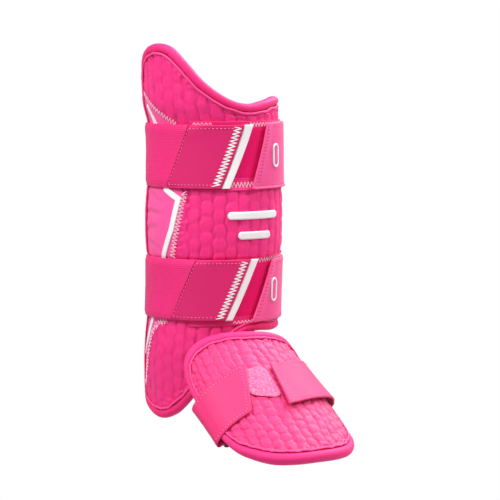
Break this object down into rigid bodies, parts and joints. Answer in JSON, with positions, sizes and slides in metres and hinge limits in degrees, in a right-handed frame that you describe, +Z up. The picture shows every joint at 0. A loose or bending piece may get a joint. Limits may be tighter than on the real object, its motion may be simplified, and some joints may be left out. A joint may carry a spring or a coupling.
{
  "type": "batter's leg guard",
  "caption": "Padded two-piece leg guard that wraps the shin and instep, with a quilted pad, a rolled edge, a smooth side panel and wide elastic straps.",
  "frame": {"origin": "on the leg's axis, half way between the two calf straps", "axes": "+Z up along the leg, -Y to the toe, -X to the wearer's inner side"},
  "size_m": [0.1608, 0.2534, 0.3591],
  "materials": {
    "quilted_cloth": "matt quilted knit over foam",
    "panel_cloth": "smooth stretch knit over foam",
    "edge_cloth": "rolled stretch binding",
    "elastic": "ribbed woven elastic",
    "loop_cloth": "brushed loop fastener",
    "white_tape": "bonded satin tape",
    "webbing": "plain woven black elastic"
  },
  "bodies": {
    "root": {"shin_pad": "quilted_cloth", "side_panel": "panel_cloth", "shin_binding": "edge_cloth", "side_stripe": "white_tape", "front_bar_upper": "white_tape", "front_bar_lower": "white_tape", "foot_pad": "quilted_cloth", "foot_binding": "edge_cloth", "foot_loop_patch": "loop_cloth", "foot_strap_band": "webbing", "foot_inner_tab": "elastic", "foot_outer_tab": "elastic", "foot_link": "webbing", "upper_loop_patch": "loop_cloth", "upper_strap_band": "elastic", "upper_front_tab": "elastic", "upper_end_strip": "white_tape", "upper_side_tab": "elastic", "upper_tab_badge": "white_tape", "lower_loop_patch": "loop_cloth", "lower_strap_band": "elastic", "lower_front_tab": "elastic", "lower_end_strip": "white_tape", "lower_side_tab": "elastic", "lower_tab_badge": "white_tape"}
  },
  "joints": []
}
